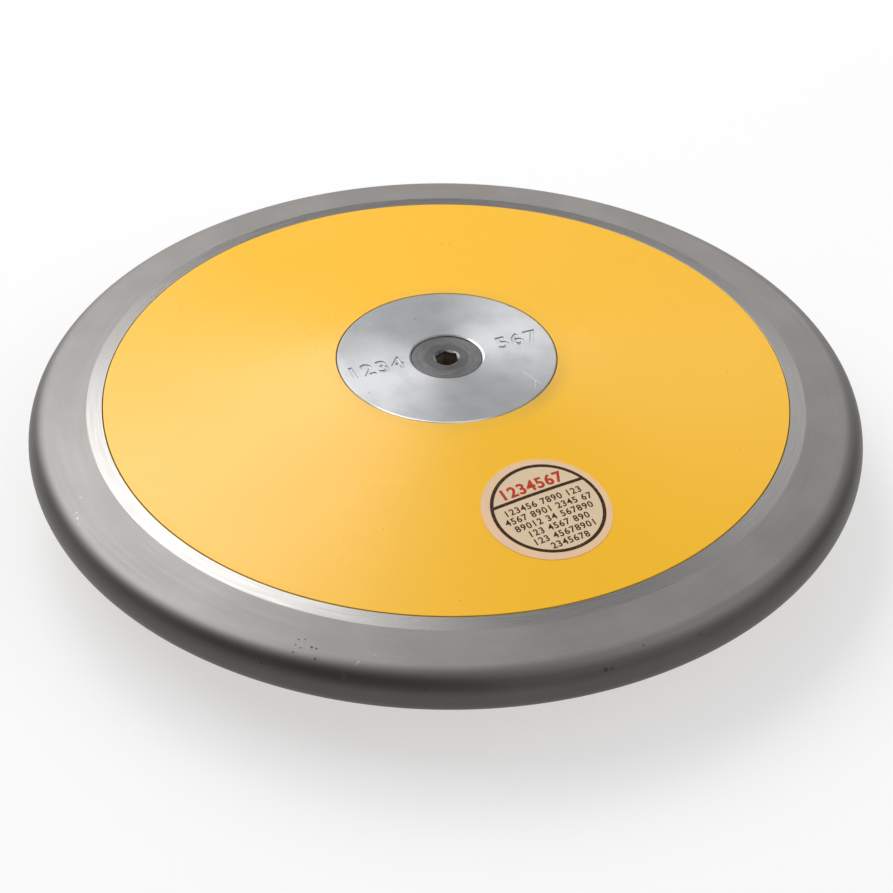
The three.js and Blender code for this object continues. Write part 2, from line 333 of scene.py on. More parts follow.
class DiscusPlateSettings(PropertyGroup):
    """Sizes and colours of the moulded side plates"""

    seam_height: length("Seam height", "Half thickness of the plate beside the rim", 8.5 * MM)
    skin: length("Skin", "Thickness of the outer skin", 3.0 * MM)
    edge_round: length("Edge round", "Rounding of the outer edge", 0.14 * MM)
    recess_gap: length("Recess gap", "Clearance round the centre plate", 0.15 * MM)
    recess_round: length("Recess round", "Rounding of the edge of the recess", 0.12 * MM)
    corner_width: length("Corner width", "Width of the solid ring round the recess", 3.5 * MM)
    spigot_gap: length("Spigot gap", "Clearance round the centre plate's spigot", 0.15 * MM)
    pocket_radius: length("Pocket radius", "Radius of the pocket for the core", 20.3 * MM)
    hub_wall: length("Hub wall", "Thickness of the wall round the core", 2.6 * MM)
    skirt: length("Skirt", "Thickness of the skirt inside the rim's web", 2.2 * MM)
    skirt_gap: length("Skirt gap", "Clearance between the skirt and the web", 0.3 * MM)
    half_gap: length("Half joint gap", "Half the gap between the two side plates", 0.15 * MM)
    rib: length("Rib thickness", "Thickness of the ribs under the skin", 1.8 * MM)
    rib_floor: length("Rib floor", "Height of the ribs' free edges above the joint", 3.0 * MM)
    hoop_radius: length("Hoop radius", "Radius of the ring-shaped rib", 51.0 * MM)
    rib_count: IntProperty(name="Ribs", description="Number of radial ribs", default=12, min=3)
    peg_radius: length("Peg radius", "Radius of the pegs that pass through the web", 1.6 * MM)
    peg_gap: length("Peg gap", "Clearance round and beyond a peg", 0.25 * MM)
    peg_break: length("Peg tip break", "Bevel at a peg's tip", 0.4 * MM)
    plastic: colour("Plastic", "Colour of the plastic", (0.985, 0.525, 0.004))
    # A ring of painted shade round the centre plate: its colour, its strength all round, and what one side
    # adds
    ring_shade: colour("Smudge", "Colour of the metal dust round the centre plate", (0.60, 0.37, 0.06))
    ring_shade_all_round: share("Smudge all round", "Strength of the metal dust all round", 0.35)
    ring_shade_one_side: share("Smudge on one side", "What the thickest side adds to it", 0.45)
    speck: colour("Specks", "Colour of the small dark specks", (0.52, 0.25, 0.02))


class DiscusCentreSettings(PropertyGroup):
    """Sizes and colours of the centre plates and their screws"""

    thickness: length("Thickness", "Thickness of the disc part of the plate", 4.0 * MM)
    edge_break: length("Edge break", "Rounding of the outer edge", 0.4 * MM)
    spigot_radius: length("Spigot radius", "Radius of the spigot under the disc", 10.0 * MM)
    hole_radius: length("Hole radius", "Radius of the clearance hole for the screw", 4.3 * MM)
    sink_radius: length("Countersink radius", "Radius of the countersink's mouth", 9.0 * MM)
    sink_bevel: length("Countersink bevel", "Depth of the bevel at the countersink's mouth", 0.24 * MM)
    seat_gap: length("Seat gap", "Clearance between the countersink and the head", 0.15 * MM)
    stamp_height: length("Stamp height", "Height of the stamped figures", 5.0 * MM)
    stamp_depth: length("Stamp depth", "Depth of the stamped figures", 0.24 * MM)
    stamp_thinning: length("Stamp thinning", "How much the stamp's strokes are slimmed", 0.08 * MM)
    stamp_spacing: number("Stamp spacing", "Spread of the stamped figures", 1.2)
    stamp_tilt: angle("Stamp tilt", "Direction in which the stamped figures run", 22.5)
    screw_radius: length("Screw radius", "Radius of the screw's shank", 3.9 * MM)
    head_land: length("Head land", "Height of the straight wall of the screw's head", 0.5 * MM)
    head_break: length("Head break", "Rounding of the head's top edge", 0.25 * MM)
    tip_break: length("Tip break", "Bevel at the screw's tip", 0.8 * MM)
    thread_pitch: length("Thread pitch", "Distance between the thread's turns", 1.25 * MM)
    socket_width: length("Socket width", "Distance across the socket's flats", 5.2 * MM)
    socket_depth: length("Socket depth", "Depth of the socket", 4.4 * MM)
    socket_bevel: length("Socket bevel", "Width of the bevel beyond the socket's corners", 0.25 * MM)
    socket_turn: angle("Socket turn", "Direction of one of the socket's corners", 41.0)
    aluminium: colour("Aluminium", "Colour of the turned aluminium", (0.364, 0.369, 0.379))
    # The next colour serves the scratches and the painted highlights on the plate's edge and countersink's
    # mouth
    scratches_and_highlights: colour("Burnished aluminium", "Colour of scratches and bright edges", (0.97, 0.97, 0.96))
    core: colour("Core", "Colour of the core's aluminium", (0.62, 0.62, 0.63))
    washer: colour("Washers", "Colour of the trim washers", (0.42, 0.41, 0.40))
    black_steel: colour("Blackened steel", "Colour of the screws", (0.092, 0.092, 0.093))
    oil: colour("Oil", "Colour of the dried oil inside the socket", (0.14, 0.108, 0.078))


class DiscusLabelSettings(PropertyGroup):
    """Sizes and colours of the round label"""

    radius: length("Radius", "Radius of the label", 15.1 * MM)
    thickness: length("Thickness", "Thickness of the label", 0.1 * MM)
    ink: length("Ink thickness", "How far the print stands on the paper", 0.02 * MM)
    from_axis: length("Distance from the axis", "Where the label's centre is", 55.71 * MM)
    azimuth: angle("Azimuth", "Direction of the label's centre from the axis", -65.5)
    tilt: angle("Tilt", "Direction in which the print runs", 29.0)
    across: length("Print across", "How far the print is off the label's centre along its lines", 0.38 * MM)
    up: length("Print up", "How far the print is off the label's centre across its lines", 0.09 * MM)
    ring_radius: length("Ring radius", "Radius of the printed ring", 12.87 * MM)
    ring_width: length("Ring width", "Width of the printed ring and bar", 0.84 * MM)
    bar_height: length("Bar height", "Height of the printed bar above the ring's centre", 4.93 * MM)
    heading_height: length("Heading height", "Height of the red figures above the ring's centre", 7.5 * MM)
    heading_size: length("Heading size", "Size of the red figures", 4.3 * MM)
    heading_weight: length("Heading weight", "Extra thickness of the red figures", 0.13 * MM)
    heading_spacing: number("Heading spacing", "Spread of the red figures", 1.1)
    row_height: length("Row height", "Height of the first row above the ring's centre", 2.3 * MM)
    row_pitch: length("Row pitch", "Distance between the rows of small figures", 2.52 * MM)
    row_size: length("Row size", "Size of the small figures", 2.5 * MM)
    row_weight: length("Row weight", "Extra thickness of the small figures", 0.05 * MM)
    row_spacing: number("Row spacing", "Spread of the small figures", 1.14)
    paper: colour("Paper", "Colour of the printed field", (0.75, 0.575, 0.38))
    margin: colour("Margin", "Colour of the margin outside the ring", (0.84, 0.565, 0.35))
    dark_ink: colour("Dark ink", "Colour of the ring and the small figures", (0.045, 0.018, 0.005))
    red_ink: colour("Red ink", "Colour of the heading", (0.5, 0.04, 0.014))


class DiscusStageSettings(PropertyGroup):
    """The floor, the lamps and the camera"""

    floor_size: length("Floor size", "Side of the square floor", 8.0)
    floor_gap: length("Floor gap", "How far the floor lies below the discus", 0.05 * MM)
    floor_colour: colour("Floor colour", "Colour of the floor", (0.96, 0.96, 0.96))
    floor_lift: share("Floor lift", "Share of plain white in what the floor shows", 0.55)
    room_light: number("Room light", "Brightness of the room overhead", 0.47)
    horizon_light: number("Horizon light", "Brightness of the room at the horizon", 0.33)
    dark_side: share("Dark side", "Brightness of the room behind the camera, as a share of the rest", 0.5)
    camera_distance: length("Camera distance", "From the centre of the discus", 0.75444)
    camera_elevation: angle("Camera elevation", "Above the horizon", 37.165)
    camera_roll: angle("Camera roll", "About the line of sight", 0.652)
    photo_size: number("Photo size", "Side of the photograph in pixels", 893.0)
    focal_pixels: number("Focal length", "In pixels of the photograph", 3114.49)
    axis_x: number("Axis across", "Pixel where the line of sight meets the photograph", 445.5)
    axis_y: number("Axis down", "Pixel where the line of sight meets the photograph", 419.82)
    sensor: number("Sensor", "Width of the camera's sensor in millimetres", 36.0)


SETTINGS = {
    "discus_rim": DiscusRimSettings,
    "discus_plate": DiscusPlateSettings,
    "discus_centre": DiscusCentreSettings,
    "discus_label": DiscusLabelSettings,
    "discus_stage": DiscusStageSettings,
}


# Outlines and meshes

def fillet_points(before, corner, after, fillet):
    """The arc that a fillet puts in place of a corner of an outline."""
    into = (before - corner).normalized()
    out = (after - corner).normalized()
    half = into.angle(out) / 2
    setback = fillet / math.tan(half)
    centre = corner + (into + out).normalized() * (fillet / math.sin(half))
    first = corner + into * setback - centre
    last = corner + out * setback - centre
    turn = math.pi - 2 * half
    steps = max(1, math.ceil(turn / CORNER_STEP))
    points = []
    for i in range(steps + 1):
        arm = first * math.sin(turn * (1 - i / steps)) + last * math.sin(turn * i / steps)
        points.append(centre + arm / math.sin(turn))
    return points


def outline(corners, fillet=0.0):
    """Points of a closed outline. A corner is (radius, height), or has a fillet of its own as well."""
    points = []
    for i, (radius, height, *own) in enumerate(corners):
        here = Vector((radius, height))
        rounding = own[0] if own else fillet
        if rounding:
            before = Vector(corners[i - 1][:2])
            after = Vector(corners[(i + 1) % len(corners)][:2])
            points.extend(fillet_points(before, here, after, rounding))
        else:
            points.append(here)
    return points


def turned(points, flats):
    """A mesh made by turning a closed outline about the Z axis."""
    form = bmesh.new()
    rings = []
    for radius, height in points:
        count = flats if radius > MERGE_GAP else 1
        turns = [2 * math.pi * i / flats for i in range(count)]
        rings.append([form.verts.new((radius * math.cos(turn), radius * math.sin(turn), height))
                      for turn in turns])
    for inner, outer in zip(rings, rings[1:] + rings[:1]):
        if len(inner) == len(outer) == 1:
            continue
        for i in range(flats):
            j = (i + 1) % flats
            if len(inner) == 1:
                corners = (inner[0], outer[j], outer[i])
            elif len(outer) == 1:
                corners = (inner[i], inner[j], outer[0])
            else:
                corners = (inner[i], inner[j], outer[j], outer[i])
            form.faces.new(corners)
    return form


def prism(points, direction):
    """A closed straight-sided solid on a flat loop of points."""
    form = bmesh.new()
    low = [form.verts.new(p) for p in points]
    high = [form.verts.new(Vector(p) + Vector(direction)) for p in points]
    form.faces.new(reversed(low))
    form.faces.new(high)
    for i, corner in enumerate(low):
        j = (i + 1) % len(low)
        form.faces.new((corner, low[j], high[j], high[i]))
    return form


def gather(forms):
    """One bmesh that holds several."""
    whole = bmesh.new()
    for form in forms:
        part = bpy.data.meshes.new("part")
        form.to_mesh(part)
        form.free()
        whole.from_mesh(part)
        bpy.data.meshes.remove(part)
    return whole


def moved(form, matrix):
    bmesh.ops.transform(form, matrix=matrix, verts=form.verts)
    return form


def about_axis(degrees):
    return Matrix.Rotation(math.radians(degrees), 4, "Z")


def placed(name, data):
    """A new object in the scene."""
    thing = bpy.data.objects.new(name, data)
    bpy.context.scene.collection.objects.link(thing)
    return thing


def shown(name, form):
    """An object that holds the bmesh, with its faces pointing out."""
    bmesh.ops.recalc_face_normals(form, faces=form.faces)
    for face in form.faces:
        face.smooth = True
    mesh = bpy.data.meshes.new(name)
    form.to_mesh(mesh)
    form.free()
    return placed(name, mesh)


def settle(piece):
    """Puts the result of the piece's modifiers into its mesh."""
    graph = bpy.context.evaluated_depsgraph_get()
    mesh = bpy.data.meshes.new_from_object(piece.evaluated_get(graph))
    old = piece.data
    piece.modifiers.clear()
    piece.data = mesh
    bpy.data.meshes.remove(old)


def turn_over(piece):
    """Makes the lower half's piece of one that was built for the upper half."""
    piece.data.transform(Matrix.Rotation(math.pi, 4, "X"))


def combine(piece, form, operation):
    """Adds a bmesh to a piece, or takes it away."""
    tool = shown("tool", form)
    step = piece.modifiers.new(operation.lower(), "BOOLEAN")
    step.operation = operation
    step.solver = "MANIFOLD"
    step.object = tool
    faces = len(piece.data.polygons)
    settle(piece)
    bpy.data.objects.remove(tool)
    if len(piece.data.polygons) == faces:
        raise RuntimeError(f"{piece.name}: the {operation.lower()} changed nothing")


def dress(piece, finishes, nodes=()):
    """Shades the piece, gives it its materials and puts it on the discus in place of its nodes."""
    piece.data.materials.clear()
    for finish in finishes:
        piece.data.materials.append(finish.material)
    piece.data.set_sharp_from_angle(angle=SHARP_ANGLE)
    weighted = piece.modifiers.new("even shading", "WEIGHTED_NORMAL")
    weighted.keep_sharp = True
    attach(piece, BODY)
    if nodes:
        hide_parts(*nodes)


# Materials

class Wire:
    """An output of a node, on which sums are written as Python expressions."""

    def __init__(self, shading, socket):
        self.shading = shading
        self.socket = socket

    def sum(self, operation, *values):
        return self.shading.node("ShaderNodeMath", {"operation": operation}, dict(enumerate(values)))

    def __add__(self, other):
        return self.sum("ADD", self, other)

    def __sub__(self, other):
        return self.sum("SUBTRACT", self, other)

    def __rsub__(self, other):
        return self.sum("SUBTRACT", other, self)

    def __mul__(self, other):
        return self.sum("MULTIPLY", self, other)

    def __truediv__(self, other):
        return self.sum("DIVIDE", self, other)

    def __pow__(self, other):
        return self.sum("POWER", self, other)

    def __abs__(self):
        return self.sum("ABSOLUTE", self)

    def most(self, other):
        return self.sum("MAXIMUM", self, other)

    __radd__ = __add__
    __rmul__ = __mul__


class Shading:
    """A node tree under construction."""

    def __init__(self, tree):
        self.tree = tree

    def node(self, kind, settings=None, values=None, out=0):
        """Any node: its settings are set first, and then the values or links of its sockets."""
        node = self.tree.nodes.new(kind)
        for key, value in (settings or {}).items():
            setattr(node, key, value)
        for key, value in (values or {}).items():
            self.feed(node.inputs[key], value)
        return Wire(self, node.outputs[out])

    def feed(self, socket, value):
        """Links a wire to a socket, or sets a constant on it."""
        if isinstance(value, Wire):
            self.tree.links.new(value.socket, socket)
        elif socket.type == "RGBA":
            socket.default_value = (*value, 1.0)
        else:
            socket.default_value = value

    def axis(self, vector, letter):
        """One of a vector's three numbers."""
        return self.node("ShaderNodeSeparateXYZ", values={0: vector}, out=letter)

    def ramp(self, value, low, high, first=0.0, last=1.0):
        """Goes smoothly from first to last as the value goes from low to high."""
        return self.node("ShaderNodeMapRange", {"interpolation_type": "SMOOTHSTEP"}, {
            "Value": value, "From Min": low, "From Max": high, "To Min": first, "To Max": last})

    def fall(self, value, low, high):
        """Goes smoothly from 1 to 0 as the value goes from low to high."""
        return self.ramp(value, low, high, 1.0, 0.0)

    def vary(self, noise, first, last):
        """Goes from first to last as a noise goes through its usual levels."""
        return self.ramp(noise, *NOISE_LEVELS, first, last)


class Finish(Shading):
    """A material under construction, with the places on the discus that its patterns read."""

    def __init__(self, name, constants):
        self.material = bpy.data.materials.new(name)
        self.material.use_nodes = True
        super().__init__(self.material.node_tree)
        self.shader = self.tree.nodes["Principled BSDF"]
        self.set(constants)
        self.place = self.node("ShaderNodeTexCoord", out="Object")
        self.x, self.y, self.z = (self.axis(self.place, letter) for letter in "XYZ")
        self.radius = (self.x * self.x + self.y * self.y) ** 0.5

    def set(self, values):
        """Sets or links inputs of the surface shader."""
        for key, value in values.items():
            self.feed(self.shader.inputs[key], value)

    def vector(self, x, y, z):
        return self.node("ShaderNodeCombineXYZ", values={0: x, 1: y, 2: z})

    def measure(self, operation, first, second):
        """The distance between two vectors, or their dot product."""
        return self.node("ShaderNodeVectorMath", {"operation": operation}, {0: first, 1: second},
                         out="Value")

    def noise(self, scale, detail):
        return self.node("ShaderNodeTexNoise", values={
            "Vector": self.place, "Scale": scale, "Detail": detail})

    def blend(self, amount, first, second):
        return self.node("ShaderNodeMix", {"data_type": "RGBA"}, {0: amount, 6: first, 7: second}, out=2)

    def lathe_lines(self, fineness, sweep):
        """Noise that runs round the axis in lines, fineness to the metre across them."""
        return self.node("ShaderNodeTexNoise", {"noise_dimensions": "4D"}, {
            "Vector": self.vector(self.radius * fineness, self.z * fineness, self.x / self.radius * sweep),
            "W": self.y / self.radius * sweep, "Scale": 1.0, "Detail": 3.0})

    def dots(self, centres):
        """1 on small round marks with ragged edges, given as (place, size) in metres."""
        found = None
        for centre, size in centres:
            away = self.measure("DISTANCE", self.place, centre)
            ragged = away + (self.noise(1 / size, 1.0) - 0.5) * size
            dot = self.fall(ragged, DOT_SOLID_SHARE * size, size)
            found = found.most(dot) if found else dot
        return found

    def lines(self, ends, width):
        """1 on straight thin marks, given as pairs of places in metres."""
        found = None
        for start, end in ends:
            along = (end - start).normalized()
            across = Vector((along.y, -along.x, 0))
            from_start = self.node("ShaderNodeVectorMath", {"operation": "SUBTRACT"}, {
                0: self.place, 1: start})
            run = self.measure("DOT_PRODUCT", from_start, along)
            off = self.measure("DOT_PRODUCT", from_start, across)
            stop = (end - start).length
            mark = (self.fall(abs(off), LINE_SOLID_SHARE * width, width) * self.ramp(run, 0.0, width)
                    * self.fall(run, stop - width, stop))
            found = found.most(mark) if found else mark
        return found

    def facing(self, azimuth):
        """1 on the side of the discus that lies towards an azimuth, 0 beyond about 40 degrees from it."""
        towards = self.measure("DOT_PRODUCT", self.place, at_polar(azimuth, 1.0, 0) / MM)
        return self.ramp(towards / self.radius, *FACING_COSINES)

    def bump(self, height, depth):
        """Raises the surface by height, from 0 to 1, times depth in metres."""
        return self.node("ShaderNodeBump", values={"Height": height, "Distance": depth, "Strength": 1.0})


def metal(name, anisotropy):
    """A finish of bare metal that was turned on a lathe."""
    return Finish(name, {"Metallic": 1.0, "Anisotropic": anisotropy, "Anisotropic Rotation": GRAIN_TURN})


def shade(base, factor):
    """A lighter or darker shade of a colour."""
    return [factor * level for level in base]


def at_polar(azimuth, radius, height):
    """A place in metres, from degrees and millimetres."""
    turn = math.radians(azimuth)
    return Vector((radius * math.cos(turn), radius * math.sin(turn), height)) * MM


def polar_marks(marks):
    return [(at_polar(azimuth, radius, height), size * MM) for azimuth, radius, height, size in marks]


def steel_finish(rim):
    """The wide band and the round edge: satin turned steel, smoother where hands grip it, darkest outside by
    painted shade.
    """
    finish = metal("turned_steel", anisotropy=0.45)
    edge_centre = RIM_RADIUS - rim.edge_radius
    fine = finish.lathe_lines(fineness=3000.0, sweep=5.0)
    coarse = finish.lathe_lines(fineness=700.0, sweep=2.5)
    clouds = finish.noise(scale=45.0, detail=3.0)
    rounded, edge_shade_mask = (
        finish.ramp(finish.radius, *(edge_centre + part * rim.edge_radius for part in shares))
        for shares in (ROUNDED_SHARES, EDGE_SHADE_SHARES))
    streaks = finish.ramp(fine * STREAK_SHARES[0] + coarse * STREAK_SHARES[1], *STREAK_LEVELS)
    pale = streaks * rim.streaks + finish.ramp(clouds, *CLOUD_LEVELS, last=rim.clouding)
    base = finish.blend(pale, rim.steel, shade(rim.steel, SHADES["streaks"]))
    base = finish.blend(rounded, base, rim.worn)
    # Painted shade: the outer part of the round edge takes a dark colour in place of the dark room and
    # shadowed floor it reflects
    base = finish.blend(edge_shade_mask, base, finish.blend(clouds * rim.clouding, rim.painted_edge_shade, rim.worn))
    rust = finish.dots(polar_marks(RIM_RUST))
    nicks = finish.dots(polar_marks(RIM_NICKS))
    base = finish.blend(rust * rim.rust_cover, base, rim.rust)
    base = finish.blend(nicks * rim.nick_shine, base, rim.fresh)
    satin = finish.vary(coarse, *ROUGHNESS["steel"]) + clouds * ROUGHENS["clouds"]
    relief = fine * RELIEF_SHARES[0] + coarse * RELIEF_SHARES[1] - nicks * NICK_RELIEF
    finish.set({
        "Base Color": base,
        "Roughness": satin + rust * ROUGHENS["rust"] - rounded * GRIP_SMOOTHS,
        "Metallic": 1 - rust,
        "Normal": finish.bump(relief, GRAIN_DEPTH["steel"]),
    })
    return finish


def bright_band_finish(rim):
    """The narrow inner band, which a finer cut has left brighter."""
    finish = metal("bright_turned_steel", anisotropy=0.5)
    lines = finish.lathe_lines(fineness=4200.0, sweep=8.0)
    clouds = finish.noise(scale=60.0, detail=2.0)
    dull = finish.ramp(clouds, *CLOUD_LEVELS, last=STRENGTHS["dull patches"])
    finish.set({
        "Base Color": finish.blend(dull, rim.bright, rim.steel),
        "Roughness": finish.vary(lines, *ROUGHNESS["bright"]),
        "Normal": finish.bump(lines, GRAIN_DEPTH["bright"]),
    })
    return finish


def machined_finish(name, base, roughness):
    """Inner faces as the tool left them, with a thin film of oil. Roughness is a pair of levels."""
    finish = metal(name, anisotropy=0.3)
    lines = finish.lathe_lines(fineness=1800.0, sweep=5.0)
    film = finish.ramp(finish.noise(scale=120.0, detail=4.0), *FILM_LEVELS)
    finish.set({
        "Base Color": finish.blend(film * STRENGTHS["film"], base, shade(base, SHADES["film"])),
        "Roughness": finish.vary(lines, *roughness),
        "Normal": finish.bump(lines, GRAIN_DEPTH["machined"]),
    })
    return finish


def plastic_finish(plate):
    """Satin yellow plastic with a faint mottle, a few specks, and a rougher ring of painted shade round the
    centre plate.
    """
    finish = Finish("yellow_plastic", {"IOR": 1.46})
    mottle = finish.noise(scale=38.0, detail=4.0)
    grain = finish.noise(scale=900.0, detail=3.0)
    waves = finish.noise(scale=130.0, detail=1.0)
    plate_ring = (finish.fall(finish.radius, PLATE_RADIUS, PLATE_RADIUS + PLATE_RING_WIDTH)
           * finish.vary(mottle, *PLATE_RING_STRENGTHS))
    scuffs = finish.ramp(finish.lathe_lines(fineness=260.0, sweep=2.0), *SCUFF_LEVELS)
    specks = finish.dots([(at_polar(azimuth, radius, face_height(plate, radius * MM) / MM), size * MM)
                          for azimuth, radius, size in PLATE_SPECKS])
    base = finish.blend(finish.ramp(mottle, *MOTTLE_LEVELS, last=STRENGTHS["mottle"]), plate.plastic,
                        shade(plate.plastic, SHADES["mottle"]))
    # Painted shade in a ring round the centre plate, heaviest on the side away from the key light
    ring_shade_amount = finish.facing(RING_SHADE_AZIMUTH) * plate.ring_shade_one_side + plate.ring_shade_all_round
    base = finish.blend(plate_ring * ring_shade_amount, base, plate.ring_shade)
    base = finish.blend(specks, base, plate.speck)
    finish.set({
        "Base Color": base,
        "Roughness": (finish.vary(mottle, *ROUGHNESS["plastic"]) + scuffs * ROUGHENS["scuffs"]
                      + plate_ring * ROUGHENS["dust"]),
        "Normal": finish.bump(grain * GRAIN_RELIEF + waves, GRAIN_DEPTH["plastic"]),
    })
    return finish


def aluminium_finish(centre):
    """Turned aluminium with fine tool circles, specks and scratches on top, and painted highlights on its
    edges.
    """
    finish = metal("turned_aluminium", anisotropy=0.7)
    lines = finish.lathe_lines(fineness=3500.0, sweep=4.0)
    clouds = finish.noise(scale=150.0, detail=4.0)
    top = PLATE_TOP / MM
    specks = finish.dots(polar_marks([(azimuth, radius, top, size)
                                      for azimuth, radius, size in CENTRE_SPECKS]))
    ends = [(at_polar(azimuth, radius, top), at_polar(end_azimuth, end_radius, top))
            for azimuth, radius, end_azimuth, end_radius in CENTRE_SCRATCHES]
    scratches = finish.lines(ends, SCRATCH_WIDTH) * finish.ramp(finish.z, 0.0, UPPER_HALF_FADE)
    # Painted highlights: a bright line on one side of the plate's edge and a bright crescent on one side of
    # the countersink's mouth
    edge_highlight = finish.facing(EDGE_HIGHLIGHT_AZIMUTH) * finish.ramp(
        finish.radius, PLATE_RADIUS - EDGE_HIGHLIGHT_START, PLATE_RADIUS - EDGE_HIGHLIGHT_FULL)
    countersink_highlight = finish.facing(COUNTERSINK_HIGHLIGHT_AZIMUTH) * finish.fall(
        finish.radius, centre.sink_radius, centre.sink_radius + SINK_BREAK)
    base = finish.blend(finish.ramp(clouds, *HAZE_LEVELS, last=STRENGTHS["haze"]), centre.aluminium,
                        shade(centre.aluminium, SHADES["haze"]))
    base = finish.blend(specks * STRENGTHS["specks"], base, shade(centre.aluminium, SHADES["specks"]))
    scratches_and_highlights = (scratches * STRENGTHS["scratches"]).most(edge_highlight.most(countersink_highlight))
    base = finish.blend(scratches_and_highlights, base, centre.scratches_and_highlights)
    finish.set({
        "Base Color": base,
        "Roughness": (finish.vary(lines, *ROUGHNESS["aluminium"])
                      + finish.vary(clouds, 0.0, ROUGHENS["clouds"])),
        "Normal": finish.bump(lines - scratches * SCRATCH_RELIEF, GRAIN_DEPTH["aluminium"]),
    })
    return finish


def black_steel_finish(centre):
    """Blackened steel in faint circles, painted shade round the socket, a worn bright mouth and brown oil
    inside.
    """
    finish = metal("blackened_steel", anisotropy=0.3)
    lines = finish.lathe_lines(fineness=1500.0, sweep=2.0)
    clouds = finish.noise(scale=400.0, detail=4.0)
    corner = socket_corner(centre)
    mouth = corner + centre.socket_bevel
    height = abs(finish.z)
    inside = finish.fall(finish.radius, corner, corner + MOUTH_FADE)
    deep = finish.fall(height, SCREW_TOP - OIL_DEPTH, SCREW_TOP - LIP_DEPTH) * inside
    # Painted shade: the screw's head is darker round the socket
    near = finish.fall(finish.radius, *(part * mouth for part in MOUTH_SHADE_SHARES))
    worn = (finish.ramp(height, SCREW_TOP - WEAR_DEPTH, SCREW_TOP - LIP_DEPTH)
            * finish.fall(height, SCREW_TOP - SKIN_DEPTH, SCREW_TOP)
            * finish.fall(finish.radius, mouth, mouth + MOUTH_FADE))
    thin = finish.ramp(lines * 0.5 + clouds * 0.5, *BLACKING_LEVELS)
    base = finish.blend(thin, centre.black_steel, shade(centre.black_steel, SHADES["thin blacking"]))
    base = finish.blend(near * STRENGTHS["mouth"], base, shade(centre.black_steel, SHADES["mouth"]))
    base = finish.blend(worn * finish.ramp(clouds, *WEAR_LEVELS), base,
                        shade(centre.black_steel, SHADES["wear"]))
    finish.set({
        "Base Color": finish.blend(deep, base, centre.oil),
        "Roughness": finish.vary(clouds, *ROUGHNESS["screw"]),
        "Metallic": 1 - deep,
        "Normal": finish.bump(lines + clouds, GRAIN_DEPTH["screw"]),
    })
    return finish


def paper_finish(label):
    """Matt printed paper, pinker outside the printed ring, with faint fibres."""
    finish = Finish("label_paper", {"IOR": 1.45})
    fibres = finish.noise(scale=2500.0, detail=3.0)
    stain = finish.noise(scale=160.0, detail=3.0)
    away = finish.measure("DISTANCE", finish.place, label_point(label, label.across, label.up, 0.0))
    outside = finish.ramp(away, label.ring_radius - label.ring_width, label.ring_radius + label.ring_width)
    base = finish.blend(outside, label.paper, label.margin)
    base = finish.blend(finish.ramp(stain, *STAIN_LEVELS, last=STRENGTHS["stain"]), base,
                        shade(label.paper, SHADES["stain"]))
    finish.set({
        "Base Color": base,
        "Roughness": finish.vary(fibres, *ROUGHNESS["paper"]),
        "Normal": finish.bump(fibres, GRAIN_DEPTH["paper"]),
    })
    return finish


def ink_finish(name, base, faded):
    """Printer's ink with small pale breaks where the paper shows."""
    finish = Finish(name, {"Specular IOR Level": 0.12})
    breaks = finish.ramp(finish.noise(scale=1800.0, detail=3.0), *BREAK_LEVELS)
    finish.set({
        "Base Color": finish.blend(breaks * STRENGTHS["breaks"], base, faded),
        "Roughness": finish.ramp(breaks, 0.0, 1.0, *ROUGHNESS["ink"]),
    })
    return finish


# Pieces

def lip_radius(rim):
    """Where the rim meets the side plate."""
    return RIM_RADIUS - rim.width


def band_radius(rim):
    """Where the two bands of the rim meet."""
    return lip_radius(rim) + rim.band_width


def web_radius(rim):
    """Where the web ends under the side plates."""
    return lip_radius(rim) - rim.web_width


def band_slope(rim):
    """Slope of the wide band, which leaves the inner band's edge and touches the round edge."""
    run = RIM_RADIUS - rim.edge_radius - band_radius(rim)
    return math.atan2(rim.band_height, run) - math.asin(rim.edge_radius / math.hypot(run, rim.band_height))


def rim_outline(rim):
    edge_centre = RIM_RADIUS - rim.edge_radius
    web_face = rim.web_thickness / 2
    top = math.pi / 2 - band_slope(rim)
    steps = math.ceil(2 * top / EDGE_STEP)
    turns = [top * (2 * i / steps - 1) for i in range(steps + 1)]
    edge = [(edge_centre + rim.edge_radius * math.cos(turn), rim.edge_radius * math.sin(turn))
            for turn in turns]
    upper = [
        (band_radius(rim), rim.band_height, rim.band_break),
        (lip_radius(rim), rim.lip_height, rim.lip_break),
        (lip_radius(rim), web_face, FINE_BREAK),
        (web_radius(rim), web_face, rim.web_break),
    ]
    lower = [(radius, -height, fillet) for radius, height, fillet in reversed(upper)]
    return outline([*lower, *edge, *upper])


def face_height(plate, radius):
    """Height of the side plate's outer face, a straight cone from the centre plate to the seam."""
    fall = (radius - PLATE_RADIUS) / (SEAM_RADIUS - PLATE_RADIUS)
    return PLATE_TOP - (PLATE_TOP - plate.seam_height) * fall


def under_face(plate, radius):
    """Height of the skin's inner face."""
    return face_height(plate, radius) - plate.skin


def corner_radius(plate):
    """Outside of the solid ring round the recess."""
    return PLATE_RADIUS + plate.recess_gap + plate.corner_width


def skirt_radius(plate, rim):
    """Outside of the skirt, which stands clear of the web."""
    return web_radius(rim) - plate.skirt_gap


